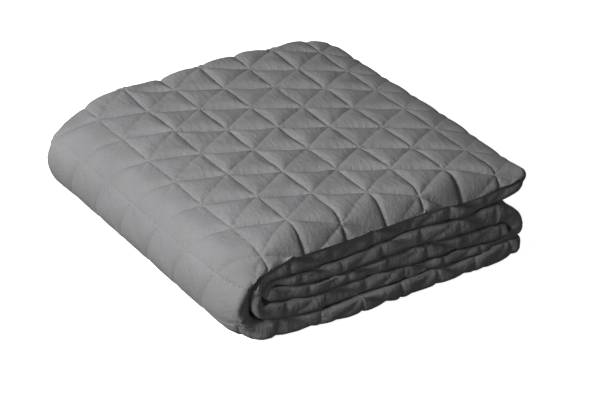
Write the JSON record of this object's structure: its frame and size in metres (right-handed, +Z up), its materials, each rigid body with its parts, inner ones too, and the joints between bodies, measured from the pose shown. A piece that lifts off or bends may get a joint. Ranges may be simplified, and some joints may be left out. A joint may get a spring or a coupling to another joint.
{
  "type": "folded quilted blanket",
  "caption": "Grey quilted blanket folded into a flat pile, its cloth sewn in small triangles, with one wide round fold at the left and rows of soft folds along the front.",
  "frame": {"origin": "middle of the underside, on the surface that the pile rests on", "axes": "+Z up, +X along the front from the wide left fold, front folds facing -Y"},
  "size_m": [0.3602, 0.3766, 0.1156],
  "materials": {
    "quilted_cloth": "matt"
  },
  "bodies": {
    "root": {"blanket": "quilted_cloth"}
  },
  "joints": []
}
